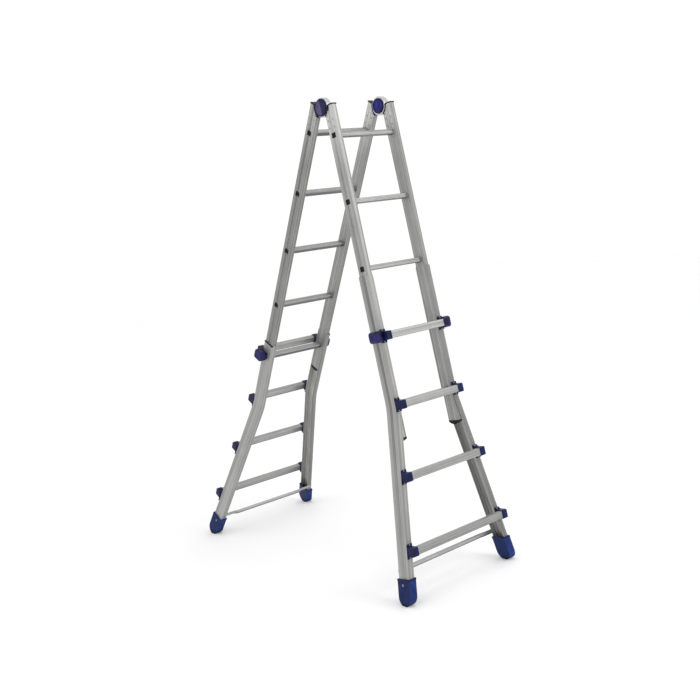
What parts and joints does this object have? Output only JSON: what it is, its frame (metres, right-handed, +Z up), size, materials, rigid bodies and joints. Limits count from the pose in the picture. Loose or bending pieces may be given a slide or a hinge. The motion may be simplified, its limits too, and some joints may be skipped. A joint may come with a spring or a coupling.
{
  "type": "multi position ladder",
  "caption": "Folding telescopic aluminium ladder set up as a stepladder, with locking top hinges, sliding flared outer sections, flat steps, blue brackets and feet.",
  "frame": {"origin": "on the floor, under the middle of the set-up ladder's bounding box", "axes": "+X along the hinge axis and the rungs, +Y from the front leg towards the rear leg, +Z up"},
  "size_m": [0.6162, 1.5516, 2.0261],
  "materials": {
    "stile_aluminium": "mill-finish extrusion with fine lengthways die lines",
    "rung_aluminium": "satin extrusion with anti-slip ribs",
    "hinge_metal": "zinc-plated, satin",
    "tie_rod_steel": "zinc-plated, satin",
    "foot_rubber": "smooth blue moulding with a slight gloss",
    "bracket_plastic": "dark blue moulding, semi-gloss",
    "knob_plastic": "dark violet-blue moulding, semi-gloss",
    "black_plastic": "black moulded end plugs and edge trim"
  },
  "bodies": {
    "front_ladder": {"front_stile_left": "stile_aluminium", "front_stile_right": "stile_aluminium", "front_rung_1": "rung_aluminium", "front_rung_2": "rung_aluminium", "front_rung_3": "rung_aluminium", "front_rung_4": "rung_aluminium", "front_rung_5": "rung_aluminium", "hinge_front_arm_left": "hinge_metal", "hinge_front_arm_right": "hinge_metal", "hinge_pin_left": "knob_plastic", "hinge_pin_right": "knob_plastic"},
    "rear_ladder": {"rear_stile_left": "stile_aluminium", "rear_stile_right": "stile_aluminium", "rear_rung_1": "rung_aluminium", "rear_rung_2": "rung_aluminium", "rear_rung_3": "rung_aluminium", "rear_rung_4": "rung_aluminium", "rear_rung_5": "rung_aluminium", "hinge_rear_arm_left": "hinge_metal", "hinge_rear_arm_right": "hinge_metal"},
    "front_outer": {"front_sleeve_left": "stile_aluminium", "front_lock_housing_left": "bracket_plastic", "front_bracket_2_left": "bracket_plastic", "front_bracket_3_left": "bracket_plastic", "front_bracket_4_left": "bracket_plastic", "front_foot_left": "foot_rubber", "front_sleeve_right": "stile_aluminium", "front_lock_housing_right": "bracket_plastic", "front_bracket_2_right": "bracket_plastic", "front_bracket_3_right": "bracket_plastic", "front_bracket_4_right": "bracket_plastic", "front_foot_right": "foot_rubber", "front_step_1": "rung_aluminium", "front_step_2": "rung_aluminium", "front_step_3": "rung_aluminium", "front_step_4": "rung_aluminium", "front_tie_rod": "tie_rod_steel"},
    "rear_outer": {"rear_sleeve_left": "stile_aluminium", "rear_lock_housing_left": "bracket_plastic", "rear_bracket_2_left": "bracket_plastic", "rear_bracket_3_left": "bracket_plastic", "rear_bracket_4_left": "bracket_plastic", "rear_foot_left": "foot_rubber", "rear_sleeve_right": "stile_aluminium", "rear_lock_housing_right": "bracket_plastic", "rear_bracket_2_right": "bracket_plastic", "rear_bracket_3_right": "bracket_plastic", "rear_bracket_4_right": "bracket_plastic", "rear_foot_right": "foot_rubber", "rear_step_1": "rung_aluminium", "rear_step_2": "rung_aluminium", "rear_step_3": "rung_aluminium", "rear_step_4": "rung_aluminium", "rear_tie_rod": "tie_rod_steel"},
    "front_lock_left": {"front_lock_knob_left": "knob_plastic"},
    "front_lock_right": {"front_lock_knob_right": "knob_plastic"},
    "rear_lock_left": {"rear_lock_knob_left": "knob_plastic"},
    "rear_lock_right": {"rear_lock_knob_right": "knob_plastic"},
    "hinge_release_left": {"hinge_release_knob_left": "knob_plastic"},
    "hinge_release_right": {"hinge_release_knob_right": "knob_plastic"}
  },
  "joints": [
    {"name": "hinge_fold", "type": "hinge", "parent": "front_ladder", "child": "rear_ladder", "pos_m": [0, -0.39755, 1.98508], "axis": [1, 0, 0], "range_deg": [-37.35, 142.65]},
    {"name": "front_telescope", "type": "slide", "parent": "front_ladder", "child": "front_outer", "axis": [0, -0.1435, -0.9897], "range_m": [-0.56, 0.28]},
    {"name": "rear_telescope", "type": "slide", "parent": "rear_ladder", "child": "rear_outer", "axis": [0, 0.4863, -0.8738], "range_m": [-0.84, 0]},
    {"name": "front_lock_left_pull", "type": "slide", "parent": "front_outer", "child": "front_lock_left", "axis": [-1, 0, 0], "range_m": [0, 0.018], "stiffness_N_per_m": 600, "springref_m": -0.006},
    {"name": "front_lock_right_pull", "type": "slide", "parent": "front_outer", "child": "front_lock_right", "axis": [1, 0, 0], "range_m": [0, 0.018], "stiffness_N_per_m": 600, "springref_m": -0.006},
    {"name": "rear_lock_left_pull", "type": "slide", "parent": "rear_outer", "child": "rear_lock_left", "axis": [-1, 0, 0], "range_m": [0, 0.018], "stiffness_N_per_m": 600, "springref_m": -0.006},
    {"name": "rear_lock_right_pull", "type": "slide", "parent": "rear_outer", "child": "rear_lock_right", "axis": [1, 0, 0], "range_m": [0, 0.018], "stiffness_N_per_m": 600, "springref_m": -0.006},
    {"name": "hinge_release_left_press", "type": "slide", "parent": "front_ladder", "child": "hinge_release_left", "axis": [-1, 0, 0], "range_m": [0, 0.006], "stiffness_N_per_m": 1200, "springref_m": -0.002},
    {"name": "hinge_release_right_press", "type": "slide", "parent": "front_ladder", "child": "hinge_release_right", "axis": [1, 0, 0], "range_m": [0, 0.006], "stiffness_N_per_m": 1200, "springref_m": -0.002}
  ]
}
